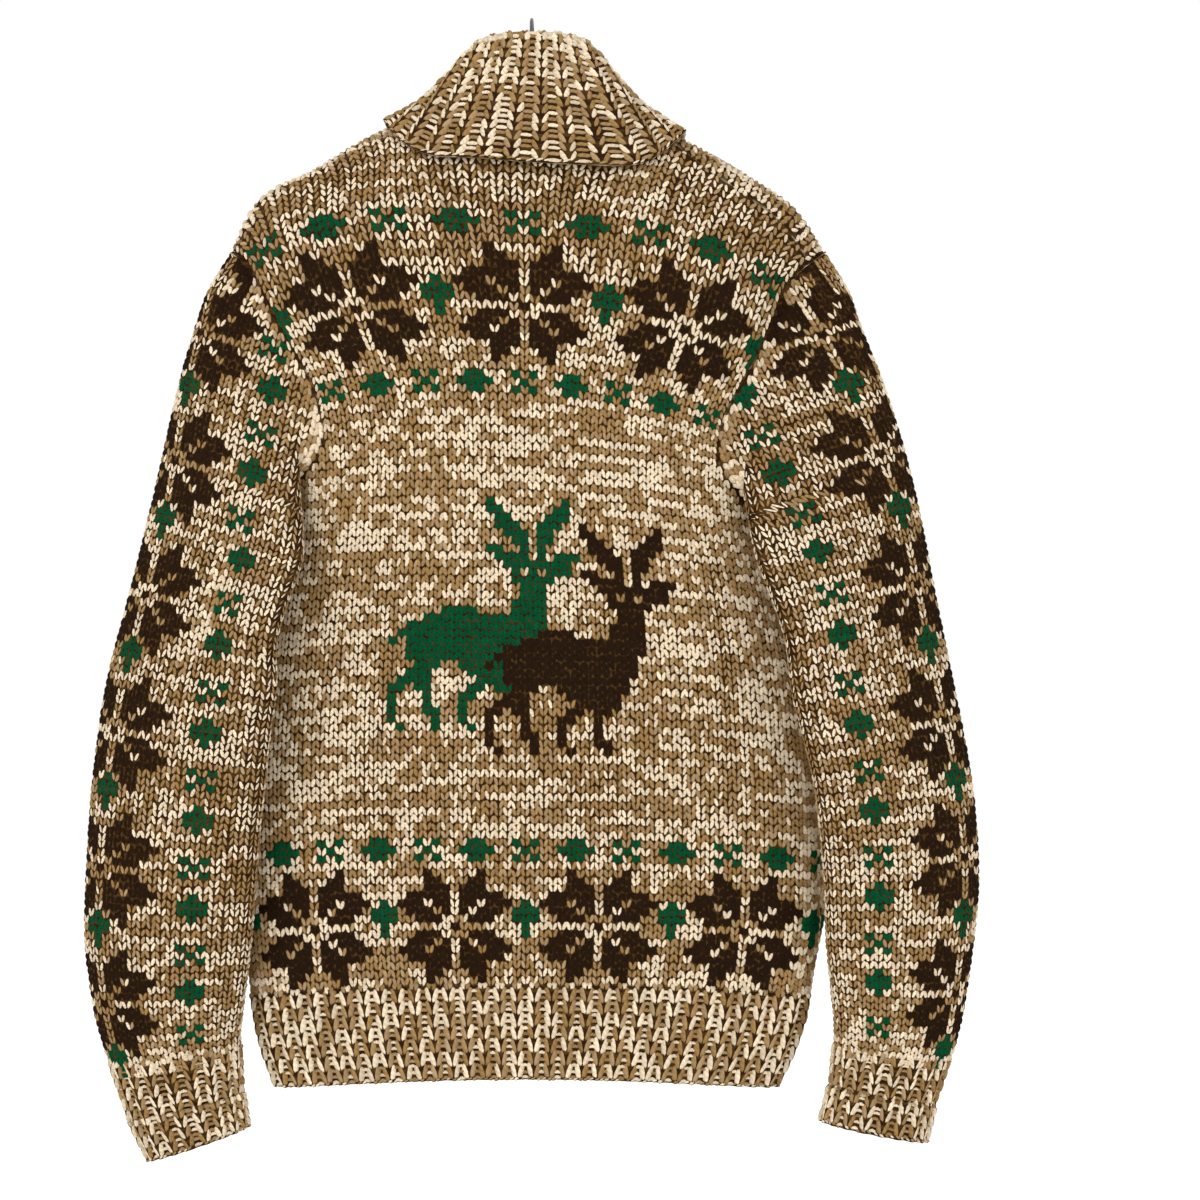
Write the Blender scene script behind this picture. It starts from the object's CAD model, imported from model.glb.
"""Cowichan sweater on a coat hanger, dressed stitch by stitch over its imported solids.

Axes: X across, -Y the wearer's back, +Z up. Inside this file lengths are in millimetres,
stitches and knit rows. A column of stitches is counted from the middle of a panel, or from the
outer side of a sleeve, and a row is counted from the top of the rib below it.
"""

import math
from collections import namedtuple
from itertools import product

import bpy
import numpy as np
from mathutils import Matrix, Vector


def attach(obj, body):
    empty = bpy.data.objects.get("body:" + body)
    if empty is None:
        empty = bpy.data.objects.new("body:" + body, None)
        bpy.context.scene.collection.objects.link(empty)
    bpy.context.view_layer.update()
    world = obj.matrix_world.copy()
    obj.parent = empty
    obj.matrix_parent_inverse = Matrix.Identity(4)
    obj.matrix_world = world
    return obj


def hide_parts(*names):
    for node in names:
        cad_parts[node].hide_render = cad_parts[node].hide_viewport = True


bl_info = {
    "name": "Cowichan sweater",
    "version": (1, 0, 0),
    "blender": (4, 5, 0),
    "location": "View3D > Sidebar > Sweater",
    "description": "Knits a hanging shawl-collared sweater, stitch by stitch, over its solids",
    "category": "Object",
}

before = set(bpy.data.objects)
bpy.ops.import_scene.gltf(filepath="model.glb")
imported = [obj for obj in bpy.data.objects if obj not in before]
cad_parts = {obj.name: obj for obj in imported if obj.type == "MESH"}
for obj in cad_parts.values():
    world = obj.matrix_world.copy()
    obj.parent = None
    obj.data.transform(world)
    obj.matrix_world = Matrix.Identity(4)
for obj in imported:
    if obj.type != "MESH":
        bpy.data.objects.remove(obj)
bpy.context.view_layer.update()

MM = 0.001

# ---------------------------------------------------------------- the garment's own sizes

# Driving sizes, in millimetres.
WALL = 4.0
COLLAR_FOLD_RADIUS = 5.5

# The panels, in stitches either side of the middle and in knit rows above the hem rib.
BODY_STITCHES = 34.0
YOKE_STITCHES = 24.0
NECK_STITCHES = 9.0
UNDERARM_ROW = 62.0
ARMHOLE_ROWS = 11.0
YOKE_ROW = 97.5
NECK_ROW = 88.0
NECK_AT_YOKE = 4.2
HEM_ROW = -12.4
TOP_LEVEL = YOKE_ROW + 1.0

# Grid sizes. The panels' levels above the underarm are also the sleeves' columns.
PANEL_LEVELS = [0, 6, 12, 18, 25, 32, 39, 46, 53, 58, 62, 64, 67, 71, 76, 82, 88, 93, 97.5,
                97.72, 97.92, 98.1, 98.25, 98.38, 98.5]
PANEL_COLUMNS = 20
HEM_RIBS = 34
CUFF_RIBS = 19
COLLAR_RIBS = 36

Section = namedtuple(
    "Section",
    "row z middle left right back front side_back side_front square reach tilt drop bend")

# Level sections of the body. left and right are half widths, back and front the depth in the
# middle, side_* the depth at the side, square the roundness, reach the stitches on each side,
# tilt and drop the way the knit row sinks to the sides, and bend how sharply it does.
SECTIONS = [
    Section(-12.4, -769, -4, 182, 182, -30, 30, 0, 0, 2.8, 34, 0, 9, 2.0),
    Section(-6.0, -733, -4, 194, 198, -28, 30, 0, 0, 3.0, 34, 0, 10, 2.5),
    Section(0.0, -700, -4, 200, 206, -27, 32, 0, 0, 3.2, 34, 0, 10, 3.0),
    Section(7.5, -658, -4, 204, 212, -28, 34, 0, 0, 3.3, 34, -1, 9, 3.0),
    Section(17.5, -603, -4, 205, 213, -31, 36, 0, 0, 3.2, 34, -2, 8, 3.0),
    Section(30.0, -534, -4, 203, 209, -38, 42, 0, 0, 3.0, 34, -3, 8, 3.0),
    Section(45.0, -450, -4, 191, 196, -50, 50, 0, 0, 2.8, 34, -4, 8, 3.0),
    Section(55.0, -395, -4, 181, 181, -57, 55, 0, 0, 2.7, 34, -5, 8, 2.6),
    Section(62.0, -356, -4, 176, 170, -60, 57, 0, 0, 2.7, 34, -6, 10, 2.4),
    Section(70.0, -311, -4, 173, 164, -57, 57, 2, 6, 2.6, 33, -8, 14, 2.3),
    Section(77.5, -268, -4, 172, 160, -53, 58, 6, 14, 2.5, 31, -11, 23, 2.2),
    Section(87.5, -214, -4, 188, 176, -48, 58, 15, 26, 2.3, 28, -11, 30, 3.2),
    Section(97.5, -153, -5, 208, 192, -43, 54, 22, 34, 2.1, 26, -11, 38, 4.4),
]

Shoulder = namedtuple("Shoulder", "u x y z radius seam_angle")

# The line that the cloth rolls over at the shoulders, and at the back of the neck between them.
# seam_angle is where the seam lies on the roll: 0 faces the back and 90 the sky.
SHOULDERS = [
    Shoulder(-24, -203, 24, -172, 20, 95),
    Shoulder(-21.5, -191, 20, -146, 20, 95),
    Shoulder(-17, -153, 12, -126, 20, 95),
    Shoulder(-9, -84, 2, -91, 18, 92),
    Shoulder(-4, -40, -20, -89, 9, 40),
    Shoulder(0, -4, -28, -89, 6, 12),
    Shoulder(4, 33, -22, -89, 9, 10),
    Shoulder(9, 84, 2, -94, 18, 54),
    Shoulder(12, 108, 5, -106, 19, 24),
    Shoulder(17, 148, 12, -129, 20, 9),
    Shoulder(21, 178, 18, -151, 22, 6),
    Shoulder(24, 195, 22, -176, 22, 6),
]

Ring = namedtuple("Ring", "level z inner outer y depth turn rise")

# Rings of the sleeves below the armholes: level in the sleeve's own length, from 1 under the
# arm through 2 at the cuff to 3 at its edge. inner and outer are distances from the middle,
# turn the way the ring is turned in plan, rise how much higher its outer side lies.
LEFT_RINGS = [
    Ring(1.00, -377, 160, 277, -44, 33, 22, 30),
    Ring(1.14, -430, 181, 290, -48, 31, 24, 26),
    Ring(1.29, -490, 195, 306, -46, 30, 20, 20),
    Ring(1.45, -550, 203, 315, -40, 30, 14, 13),
    Ring(1.63, -620, 208, 321, -32, 30, 10, 6),
    Ring(1.80, -685, 209, 321, -26, 28, 6, 0),
    Ring(1.93, -735, 211, 311, -20, 24, 4, -10),
    Ring(2.00, -762, 211, 301, -17, 20, 2, -15),
    Ring(2.50, -790, 209, 291, -15, 17, 0, -19),
    Ring(3.00, -817, 206, 277, -14, 17, 0, -24),
]
RIGHT_RINGS = [
    Ring(1.00, -377, 158, 283, -44, 33, 22, 30),
    Ring(1.14, -430, 185, 292, -48, 31, 24, 26),
    Ring(1.29, -490, 197, 304, -46, 29, 20, 20),
    Ring(1.45, -550, 207, 316, -40, 28, 14, 13),
    Ring(1.63, -620, 214, 323, -32, 28, 10, 4),
    Ring(1.80, -685, 216, 317, -26, 26, 6, -2),
    Ring(1.93, -735, 220, 308, -20, 22, 4, -9),
    Ring(2.00, -757, 219, 300, -17, 19, 2, -11),
    Ring(2.50, -783, 216, 292, -15, 17, 0, -15),
    Ring(3.00, -808, 210, 286, -14, 17, 0, -15),
]
SLEEVE_CAP_HEIGHT = 165.0
SLEEVE_RADIUS = 46.0
CAP_ROLL = 4.0
ROLL_STEPS = 3
ROLL_LEAD = 3.0
ARMHOLE_GAP = 0.8
CAP_SMOOTHING = 4
CLEAR_BELOW = -300.0
BODY_CLEARANCE = 9.0

# Under the arm the sleeve's columns start at the body's side and swing round to the tube.
TWIST_TURN = 62.0
TWIST_MIDDLE = 195.0
TWIST_SPREAD = 85.0
TWIST_LENGTH = 0.5

Lapel = namedtuple(
    "Lapel", "place fold_x fold_y fold_z face edge_left edge_right edge_level edge_angle lift")

# The collar's fold and free edge, from the middle of the back (place 0) round to its front
# end (place 1). fold_x is the distance from the middle. The free edge lies over a panel, at a
# column and level of its cloth, or over the shoulder roll at an angle, lifted off it.
LAPELS = [
    Lapel(0.00, 0, -38, -16, "back", 0.0, 0.0, 98.14, 0, 10),
    Lapel(0.10, 22, -36, -17, "back", 3.6, 4.1, 98.12, 0, 10),
    Lapel(0.20, 40, -30, -23, "back", 7.0, 8.2, 98.06, 0, 9),
    Lapel(0.28, 52, -14, -39, "roll", 9.7, 10.4, 0, 14, 7),
    Lapel(0.34, 58, 2, -52, "roll", 10.4, 10.9, 0, 54, 7.5),
    Lapel(0.41, 63, 20, -71, "roll", 10.9, 11.2, 0, 120, 8),
    Lapel(0.50, 64, 41, -91, "roll", 11.6, 12.0, 0, 168, 8),
    Lapel(0.62, 52, 62, -117, "front", 11.4, 11.4, 97.50, 0, 9),
    Lapel(0.78, 28, 73, -154, "front", 8.4, 8.4, 91.0, 0, 9),
    Lapel(1.00, 1, 77, -188, "front", 0.1, 0.1, 80.5, 0, 9),
]
COLLAR_MIDDLE_BACK = 2.0
COLLAR_MIDDLE_FRONT = -4.0
COLLAR_SEAT = 1.2
COLLAR_END = 0.962


def unit(vectors):
    """The vectors at length one."""
    lengths = np.linalg.norm(vectors, axis=-1, keepdims=True)
    return vectors / np.maximum(lengths, 1e-9)


def smooth(table, at):
    """The table's row at a value of its first column, on a smooth curve through its rows."""
    values = np.array(table, dtype=float)
    keys = values[:, 0]
    slopes = np.gradient(values, keys, axis=0)
    at = min(max(at, keys[0]), keys[-1])
    i = min(int(np.searchsorted(keys, at, side="right")) - 1, len(keys) - 2)
    step = keys[i + 1] - keys[i]
    t = (at - keys[i]) / step
    row = ((1 + 2 * t) * (1 - t) ** 2 * values[i] + t * (1 - t) ** 2 * step * slopes[i]
           + t * t * (3 - 2 * t) * values[i + 1] + t * t * (t - 1) * step * slopes[i + 1])
    return type(table[0])(*row)


def along(path, share):
    """The point at a share of a polyline's length."""
    lengths = run(path)
    at = share * lengths[-1]
    return np.array([np.interp(at, lengths, path[:, axis]) for axis in range(3)])


def run(points):
    """How far along its own line each point lies."""
    steps = np.linalg.norm(np.diff(points, axis=0), axis=1)
    return np.concatenate([[0.0], np.cumsum(steps)])


def hermite(start, start_slope, end, end_slope, count):
    """Points on the cubic from start to end with the slopes given."""
    t = np.linspace(0.0, 1.0, count)[:, None]
    return ((1 + 2 * t) * (1 - t) ** 2 * start + t * (1 - t) ** 2 * start_slope
            + t * t * (3 - 2 * t) * end + t * t * (t - 1) * end_slope)


# ---------------------------------------------------------------- the body's surface

QUARTER = np.linspace(0.0, math.pi / 2, 49)


def section_point(u, row, face):
    """The point u stitches from the middle on the level section at a knit row."""
    section = smooth(SECTIONS, row)
    side = -1.0 if u < 0 else 1.0
    half = section.left if u < 0 else section.right
    middle_depth = section.back if face == "back" else section.front
    side_depth = section.side_back if face == "back" else section.side_front
    across = np.sin(QUARTER) ** (2 / section.square)
    depth = np.cos(QUARTER) ** (2 / section.square)
    steps = np.hypot(np.diff(across) * half, np.diff(depth) * (middle_depth - side_depth))
    lengths = np.concatenate([[0.0], np.cumsum(steps)])
    at = abs(u) / section.reach * lengths[-1]
    share = np.interp(at, lengths, across)
    deep = np.interp(at, lengths, depth)
    sink = section.tilt * side * share - section.drop * share ** section.bend
    return np.array([section.middle + side * half * share,
                     side_depth + (middle_depth - side_depth) * deep,
                     section.z + sink])


def roll_frame(u):
    """The shoulder roll at column u: its table row, axis point and two directions."""
    here = smooth(SHOULDERS, u)
    low = smooth(SHOULDERS, max(u - 0.5, -YOKE_STITCHES))
    high = smooth(SHOULDERS, min(u + 0.5, YOKE_STITCHES))
    axis = unit(np.array([high.x - low.x, high.y - low.y, high.z - low.z]))
    up = np.array([0.0, 0.0, 1.0])
    up = unit(up - up.dot(axis) * axis)
    back = np.cross(axis, up)
    return here, np.array([here.x, here.y, here.z]), back, up


def roll_point(u, angle):
    """A point on the shoulder roll and its outward direction."""
    here, centre, back, up = roll_frame(u)
    outward = math.cos(math.radians(angle)) * back + math.sin(math.radians(angle)) * up
    return centre + here.radius * outward, outward


def top_path(u, face):
    """The column from the yoke row up to the shoulder seam or the neck."""
    anchor = u
    if face == "front" and abs(u) < NECK_STITCHES:
        anchor = math.copysign(NECK_STITCHES, u if u else 1.0)
    here = smooth(SHOULDERS, anchor)
    join = min(30.0, here.seam_angle) if face == "back" else 150.0
    shift = np.array([(u - anchor) * 8.5, 0.0, -abs(u - anchor) * 1.5])
    start = section_point(u, YOKE_ROW, face)
    rise = start - section_point(u, YOKE_ROW - 2.0, face)
    angles = np.linspace(join, here.seam_angle, 13)
    arc = np.array([roll_point(anchor, angle)[0] for angle in angles]) + shift
    end = arc[0]
    chord = np.linalg.norm(end - start)
    onward = 2.0 if face == "back" else -2.0
    ahead = roll_point(anchor, join + onward)[0] - roll_point(anchor, join)[0]
    bend = hermite(start, unit(rise) * chord, end, unit(ahead) * chord, 13)
    return np.vstack([bend, arc[1:]]) if abs(here.seam_angle - join) > 1.0 else bend


def body_point(u, level, face):
    """The cloth's middle at column u and a level: a knit row, or the yoke row plus a share."""
    if level <= YOKE_ROW:
        return section_point(u, level, face)
    return along(top_path(u, face), level - YOKE_ROW)


def body_normal(u, level, face):
    """The outward direction of the body there."""
    limit = YOKE_STITCHES if level > YOKE_ROW else smooth(SECTIONS, level).reach
    if level >= TOP_LEVEL and not (face == "front" and abs(u) < NECK_STITCHES):
        return roll_point(u, smooth(SHOULDERS, u).seam_angle)[1]
    across = (body_point(min(u + 0.4, limit), level, face)
              - body_point(max(u - 0.4, -limit), level, face))
    step = 0.02 if level > YOKE_ROW - 0.5 else 0.4
    along_row = (body_point(u, min(level + step, TOP_LEVEL), face)
                 - body_point(u, level - step, face))
    normal = np.cross(across, along_row)
    if face == "front":
        normal = -normal
    return unit(normal)


def armhole_edge(level):
    """Half the panel's stitches at a level: full to the underarm, cut in above it."""
    if level <= UNDERARM_ROW:
        return BODY_STITCHES
    share = min((level - UNDERARM_ROW) / ARMHOLE_ROWS, 1.0)
    return YOKE_STITCHES + (BODY_STITCHES - YOKE_STITCHES) * (1.0 - share) ** 2.2


def neck_edge(level):
    """Half the stitches that the front's V neck takes at a level."""
    if level <= NECK_ROW:
        return 0.0
    if level <= YOKE_ROW:
        return NECK_AT_YOKE * (level - NECK_ROW) / (YOKE_ROW - NECK_ROW)
    return NECK_AT_YOKE + (NECK_STITCHES - NECK_AT_YOKE) * (level - YOKE_ROW)


# ---------------------------------------------------------------- the sleeves' surface

def cap_angles():
    """Angles round the sleeve and how far down the armhole each column starts."""
    angles = np.linspace(0.0, math.pi, 91)
    steps = np.hypot(SLEEVE_RADIUS, SLEEVE_CAP_HEIGHT / 2 * np.sin(angles))
    lengths = np.concatenate([[0.0], np.cumsum((steps[1:] + steps[:-1]) / 2)])
    return angles, lengths / lengths[-1]


def cap_direction(side, angle):
    """The way the sleeve leaves the armhole seam. Angle 0 is the top, 90 degrees the back."""
    return unit(np.array([side * (0.72 + 0.1 * abs(math.sin(angle))), -0.45 * math.sin(angle),
                          -0.95 - 0.3 * (1 - math.cos(angle))]))


Seam = namedtuple("Seam", "points normals away")


def seam_of(points, normals, inside):
    """A seam with the direction out of the panel across it, in the cloth's own surface."""
    ahead = unit(np.gradient(points, axis=0))
    away = points - inside
    away -= np.sum(away * ahead, axis=1)[:, None] * ahead
    away -= np.sum(away * normals, axis=1)[:, None] * normals
    return Seam(points, normals, unit(away))


def armhole_seam(side, face):
    """The armhole's edge from the shoulder tip to the underarm, at the panel's own corners."""
    levels = [level for level in PANEL_LEVELS if level >= UNDERARM_ROW][::-1]
    at = [(side * armhole_edge(level), level) for level in levels]
    points = np.array([body_point(u, level, face) for u, level in at])
    normals = np.array([body_normal(u, level, face) for u, level in at])
    inside = np.array([body_point(u - side, level - 0.02, face) for u, level in at])
    return seam_of(points, normals, inside)


def armhole_columns(side):
    """The sleeve's columns: angle, seam point, outward direction and direction off the panel."""
    back, front = armhole_seam(side, "back"), armhole_seam(side, "front")
    angles, cap = cap_angles()
    columns = []
    for seam, turned in ((back, False), (front, True)):
        steps = np.linalg.norm(np.diff(seam.points, axis=0), axis=1)
        shares = np.concatenate([[0.0], np.cumsum(steps)]) / steps.sum()
        around = np.interp(shares, cap, angles)
        last = len(shares) - 1
        for i in range(len(shares)):
            normal, away = seam.normals[i], seam.away[i]
            if i in (0, last):
                normal = unit(back.normals[i] + front.normals[i])
                away = unit(back.away[i] + front.away[i])
            angle = 2 * math.pi - around[i] if turned else around[i]
            columns.append((angle, seam.points[i], normal, away))
    count = len(back.points)
    return columns[:count] + columns[count + 1:-1][::-1]


def twist(level, angle):
    """The angle on the ring that the column reaches: round the body's side under the arm."""
    fade = max(0.0, 1.0 - (level - 1.0) / TWIST_LENGTH)
    near = max(0.0, 1.0 - ((math.degrees(angle) - TWIST_MIDDLE) / TWIST_SPREAD) ** 2)
    return angle + math.radians(TWIST_TURN) * near ** 2 * fade ** 2 * (3 - 2 * fade)


def ring_point(side, level, angle):
    """A point on the sleeve below the arm. Angle 0 is its outer side, 90 degrees its back."""
    ring = smooth(LEFT_RINGS if side < 0 else RIGHT_RINGS, level)
    turn = math.radians(ring.turn)
    reach = (ring.outer - ring.inner) / 2
    long_half = math.sqrt(reach ** 2 - (ring.depth * math.sin(turn)) ** 2) / math.cos(turn)
    around = twist(level, angle)
    out = long_half * math.cos(around)
    back = ring.depth * math.sin(around)
    x = (ring.outer + ring.inner) / 2 + out * math.cos(turn) - back * math.sin(turn)
    y = ring.y + out * math.sin(turn) - back * math.cos(turn)
    z = ring.z + ring.rise / 2 * out / long_half
    return np.array([side * x, y, z])


def clear_of_body(point):
    """A point of the sleeve, moved out of the body's section below the arm if it is in it."""
    if point[2] > CLEAR_BELOW:
        return point
    row = np.interp(point[2], [section.z for section in SECTIONS],
                    [section.row for section in SECTIONS])
    section = smooth(SECTIONS, row)
    x, y = point[0] - section.middle, point[1]
    half = (section.left if x < 0 else section.right) + BODY_CLEARANCE
    depth = (-section.back if y < 0 else section.front) + BODY_CLEARANCE
    inside = (abs(x / half) ** section.square + abs(y / depth) ** section.square)
    scale = max(inside ** (-1 / section.square), 1.0)
    return np.array([section.middle + x * scale, y * scale, point[2]])


def cap_column(side, column, steps):
    """A column of the cap: a small roll out of the armhole seam, then a curve to the arm."""
    angle, start, normal, away = column
    end = clear_of_body(ring_point(side, 1.0, angle))
    below = clear_of_body(ring_point(side, 1.06, angle))
    under = max(0.0, 1.0 - abs(math.degrees(angle) - 190.0) / 80.0)
    leave = unit(cap_direction(side, angle) * (1.0 - under) + unit(end - start) * under)
    turn = max(math.atan2(leave.dot(normal), leave.dot(away)), 0.0)
    roll = []
    for k in range(ROLL_STEPS + 1):
        share = k / ROLL_STEPS
        t = turn * share
        roll.append(start + away * (ARMHOLE_GAP + ROLL_LEAD * share + CAP_ROLL * math.sin(t))
                    + normal * CAP_ROLL * (1 - math.cos(t)))
    chord = np.linalg.norm(end - roll[-1])
    path = hermite(roll[-1], leave * chord * 0.9, end, unit(below - end) * chord * 0.8, 25)
    path[1:] = [clear_of_body(point) for point in path[1:]]
    rest = [along(path, k / steps) for k in range(1, steps + 1)]
    return np.vstack([roll, rest])


# ---------------------------------------------------------------- the collar's surface

FoldPoint = namedtuple("FoldPoint", "place x y z")
GUIDES = {}


def neck_seam(side):
    """The neck's edge from the middle of the back to the foot of the V, at the panels' corners."""
    edge = armhole_edge(TOP_LEVEL)
    columns = [edge * j / (PANEL_COLUMNS // 2) for j in range(PANEL_COLUMNS // 2)]
    at = [(side * u, TOP_LEVEL, "back") for u in columns if u < NECK_STITCHES - 0.5]
    levels = [level for level in PANEL_LEVELS if level >= NECK_ROW][::-1]
    at += [(side * neck_edge(level), level, "front") for level in levels]
    points = np.array([body_point(*place) for place in at])
    normals = np.array([body_normal(*place) for place in at])
    inside = np.array([body_point(u, level - 0.04, face) if face == "back" else
                       body_point(u + side * 0.8, level - 0.02, face) for u, level, face in at])
    return seam_of(points, normals, inside)


def lapel_edge(row, side):
    """A point of the collar's free edge."""
    u = row.edge_left if side < 0 else row.edge_right
    if row.face == "roll":
        surface, outward = roll_point(side * u, row.edge_angle)
    else:
        surface = body_point(side * u, row.edge_level, row.face)
        outward = body_normal(side * u, row.edge_level, row.face)
    return surface + row.lift * outward


def collar_guides(side):
    """The neck seam, and the collar's fold and free edge by place, worked out once."""
    if side not in GUIDES:
        fold, edge = [], []
        for row in LAPELS:
            middle = COLLAR_MIDDLE_BACK + (COLLAR_MIDDLE_FRONT - COLLAR_MIDDLE_BACK) * row.place
            fold.append(FoldPoint(row.place, middle + side * row.fold_x, row.fold_y, row.fold_z))
            edge.append(FoldPoint(row.place, *lapel_edge(row, side)))
        GUIDES[side] = (neck_seam(side), fold, edge)
    return GUIDES[side]


def at_place(points, vectors, place):
    """The vector at a share of a polyline's length."""
    steps = np.linalg.norm(np.diff(points, axis=0), axis=1)
    shares = np.concatenate([[0.0], np.cumsum(steps)]) / steps.sum()
    return np.array([np.interp(place, shares, vectors[:, axis]) for axis in range(3)])


def collar_profile(side, place):
    """The collar's middle from its foot up over the fold and down to its free edge."""
    neck, fold_table, edge_table = collar_guides(side)
    seam = along(neck.points, place)
    away = unit(at_place(neck.points, neck.away, place))
    fold = np.array(smooth(fold_table, place)[1:])
    edge = np.array(smooth(edge_table, place)[1:])
    ahead = unit(np.array(smooth(fold_table, place + 0.01)[1:])
                 - np.array(smooth(fold_table, place - 0.01)[1:]))
    rise = unit((fold - seam) - (fold - seam).dot(ahead) * ahead)
    outward = np.cross(ahead, rise)
    outward = outward * np.sign(outward.dot(edge - fold))
    radius = COLLAR_FOLD_RADIUS
    centre = fold - rise * radius
    stand_way = unit(fold - seam)
    across = np.linalg.norm(np.cross(stand_way, away))
    foot = seam + away * (COLLAR_SEAT + WALL / 2 * across)
    stand_top = centre - outward * radius
    fall_top = centre + outward * radius
    stand = [foot + (stand_top - foot) * share for share in (0.0, 0.5)]
    turns = np.radians([0.0, 60.0, 120.0, 180.0])
    bend = [centre - outward * radius * math.cos(a) + rise * radius * math.sin(a) for a in turns]
    fall = [fall_top + (edge - fall_top) * share for share in (0.5, 1.0)]
    return np.array(stand + bend + fall)


# ---------------------------------------------------------------- cloth as a grid of stitches

# How high a row is, how far the shell's two faces lie from the cloth's middle, and how wide a
# sleeve's stitch usually is, in millimetres.
ROW_HEIGHT = 5.55
CLOTH_OUT = 0.4
CLOTH_IN = 2.0
USUAL_STITCH = 7.3

# The sleeves' grid: stitches round the arm, steps down the cap, levels of the rings below it,
# and how many times finer it is made in the end.
SLEEVE_STITCHES = 40
CAP_STEPS = 7
FINER = 3
SLEEVE_LEVELS = (1.08, 1.16, 1.25, 1.34, 1.44, 1.54, 1.65, 1.76, 1.87, 1.94, 1.9992)

# The panels' grid: the outermost column, how far inside the armhole's edge the cloth stops, in
# stitches, and how many quads lie across each half.
FIRST_COLUMN = -34
EDGE_INSET = 0.03
PANEL_HALF = 16
NEAR_ZERO = 1e-9

Crease = namedtuple("Crease", "piece face x0 z0 x1 z1 width depth")

# Soft troughs (depth below zero) and ridges of the hanging cloth, drawn on its flat view.
CREASES = [
    Crease("body", "back", -60, -560, -70, -240, 26, 2.0),
    Crease("body", "back", 40, -700, 50, -330, 30, -2.0),
    Crease("body", "back", -120, -690, -110, -420, 22, -2.2),
    Crease("body", "back", 100, -680, 96, -400, 26, 1.6),
    Crease("body", "back", 152, -560, 122, -320, 16, -2.0),
    Crease("body", "back", -150, -520, -140, -370, 20, -1.6),
    Crease("body", "back", -150, -250, -100, -190, 16, -2.2),
    Crease("body", "back", 120, -200, 165, -290, 16, -2.2),
    Crease("body", "front", -90, -640, -70, -300, 24, -2.6),
    Crease("body", "front", 30, -690, 20, -360, 26, 2.2),
    Crease("body", "front", 110, -660, 100, -330, 20, -2.6),
    Crease("body", "front", -140, -560, -128, -330, 14, 2.0),
    Crease("sleeve_left", "back", -196, -330, -236, -470, 9, -3.0),
    Crease("sleeve_left", "back", -210, -400, -262, -500, 11, -2.6),
    Crease("sleeve_left", "back", -222, -540, -268, -600, 12, -2.2),
    Crease("sleeve_left", "back", -228, -640, -240, -740, 10, -2.0),
    Crease("sleeve_left", "front", -250, -430, -262, -640, 13, -2.6),
    Crease("sleeve_right", "back", 176, -300, 214, -450, 9, -3.0),
    Crease("sleeve_right", "back", 200, -400, 248, -520, 11, -2.6),
    Crease("sleeve_right", "back", 232, -560, 252, -700, 10, -2.2),
    Crease("sleeve_right", "front", 236, -430, 256, -660, 13, -2.6),
]


Fullness = namedtuple("Fullness", "z left right")

# How far each sleeve's cloth lies over the back panel's edge, and how far the front panel's
# cloth swells out beside the seam under the arm.
SLEEVE_FULLNESS = [
    Fullness(-300, 0, 0), Fullness(-377, 10, 10), Fullness(-400, 16, 15),
    Fullness(-440, 13, 15), Fullness(-495, 16, 10), Fullness(-550, 16, 5),
    Fullness(-641, 12, 4), Fullness(-740, 0, 0)]
FRONT_FULLNESS = [
    Fullness(-380, 0, 0), Fullness(-450, 3, 6), Fullness(-560, 4, 9), Fullness(-650, 4, 9),
    Fullness(-690, 3, 2), Fullness(-715, 0, 0)]


def fullness_at(rows, heights, side):
    """The fullness at each height, on one side of the garment."""
    return np.interp(heights, [row.z for row in rows][::-1],
                     [row.left if side < 0 else row.right for row in rows][::-1])


def fuller_sleeve(grid, side):
    """The sleeve's inner side, eased toward the body over the edge of the back panel."""
    rings = (LEFT_RINGS if side < 0 else RIGHT_RINGS)[::-1]
    heights = [ring.z for ring in rings]
    middle_x = np.interp(grid[..., 2], heights,
                         [side * (ring.inner + ring.outer) / 2 for ring in rings])
    middle_y = np.interp(grid[..., 2], heights, [ring.y for ring in rings])
    away = unit(np.stack([grid[..., 0] - middle_x, grid[..., 1] - middle_y,
                          np.zeros(grid.shape[:-1])], axis=-1))
    way = unit(np.array([-side, -0.35, 0.0]))
    eased = fullness_at(SLEEVE_FULLNESS, grid[..., 2], side) * np.clip(away @ way, 0, 1) ** 1.5
    return grid + way * eased[..., None]


def fuller_front(points, columns):
    """The front panel, swollen out beside the seams under the arms."""
    beside = np.clip((np.abs(columns) - 26) / 5, 0, 1) * np.clip((34 - np.abs(columns)) / 2, 0, 1)
    out = np.zeros(points.shape)
    for side in (-1, 1):
        swell = fullness_at(FRONT_FULLNESS, points[..., 2], side) * np.where(
            columns * side > 0, beside, 0)
        out += swell[..., None] * np.array([side, 0.25, 0.0])
    return points + out


def creased(points, normals, piece):
    """The points pushed in or out by the piece's creases, fading toward each crease's ends."""
    moved = points.copy()
    for crease in CREASES:
        if crease.piece != piece:
            continue
        start = np.array([crease.x0, crease.z0], dtype=float)
        line = np.array([crease.x1, crease.z1], dtype=float) - start
        flat = points[..., [0, 2]] - start
        share = flat @ line / line.dot(line)
        away = np.linalg.norm(flat - np.clip(share, 0, 1)[..., None] * line, axis=-1)
        fade = np.clip(1.0 - np.abs(share - 0.5) * 1.6, 0, 1)
        facing = normals[..., 1] if crease.face == "front" else -normals[..., 1]
        push = (crease.depth * np.exp(-(away / crease.width) ** 2)
                * fade * fade * (3 - 2 * fade) * np.clip(facing * 1.6, 0, 1))
        moved += normals * push[..., None]
    return moved


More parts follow.
